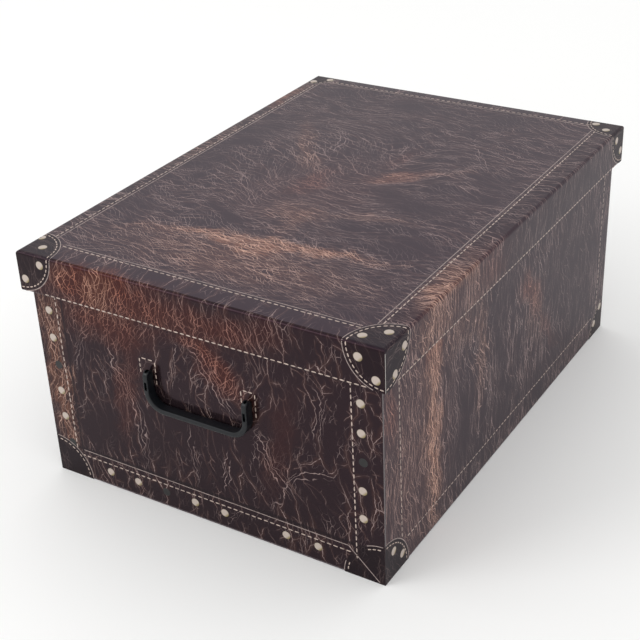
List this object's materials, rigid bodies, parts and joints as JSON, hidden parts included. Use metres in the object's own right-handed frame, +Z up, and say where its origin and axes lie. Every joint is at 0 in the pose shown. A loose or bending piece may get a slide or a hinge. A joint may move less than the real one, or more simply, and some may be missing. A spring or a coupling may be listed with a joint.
{
  "type": "storage box",
  "caption": "Flat-pack storage box of folded printed board with a lift-off lid and a swinging moulded handle at each end, for papers and keepsakes.",
  "frame": {"origin": "under the middle of the tray's base, on the surface that the box stands on", "axes": "+Z up, +Y along the length from the front handle end to the back one, +X across the width to the right"},
  "size_m": [0.37, 0.5158, 0.236],
  "materials": {
    "printed_board": "satin",
    "plain_board": "matte",
    "handle_plastic": "satin"
  },
  "bodies": {
    "tray": {"base_panel": "printed_board", "left_side_wall": "printed_board", "right_side_wall": "printed_board", "front_end_wall": "printed_board", "back_end_wall": "printed_board", "front_wall_return": "printed_board", "back_wall_return": "printed_board", "front_left_corner_flap": "plain_board", "front_right_corner_flap": "plain_board", "back_left_corner_flap": "plain_board", "back_right_corner_flap": "plain_board", "front_left_handle_anchor": "handle_plastic", "front_right_handle_anchor": "handle_plastic", "back_left_handle_anchor": "handle_plastic", "back_right_handle_anchor": "handle_plastic"},
    "lid": {"lid_top_panel": "printed_board", "lid_left_skirt": "printed_board", "lid_right_skirt": "printed_board", "lid_front_skirt": "printed_board", "lid_back_skirt": "printed_board", "lid_left_skirt_return": "printed_board", "lid_right_skirt_return": "printed_board", "lid_front_skirt_return": "printed_board", "lid_back_skirt_return": "printed_board", "lid_front_left_flap": "plain_board", "lid_front_right_flap": "plain_board", "lid_back_left_flap": "plain_board", "lid_back_right_flap": "plain_board"},
    "front_handle": {"front_handle": "handle_plastic"},
    "back_handle": {"back_handle": "handle_plastic"}
  },
  "joints": [
    {"name": "lid_lift", "type": "slide", "parent": "tray", "child": "lid", "axis": [0, 0, 1], "range_m": [0, 0.3]},
    {"name": "front_handle_swing", "type": "hinge", "parent": "tray", "child": "front_handle", "pos_m": [0, -0.2531, 0.1445], "axis": [-1, 0, 0], "range_deg": [0, 90]},
    {"name": "back_handle_swing", "type": "hinge", "parent": "tray", "child": "back_handle", "pos_m": [0, 0.2531, 0.1445], "axis": [1, 0, 0], "range_deg": [0, 90]}
  ]
}
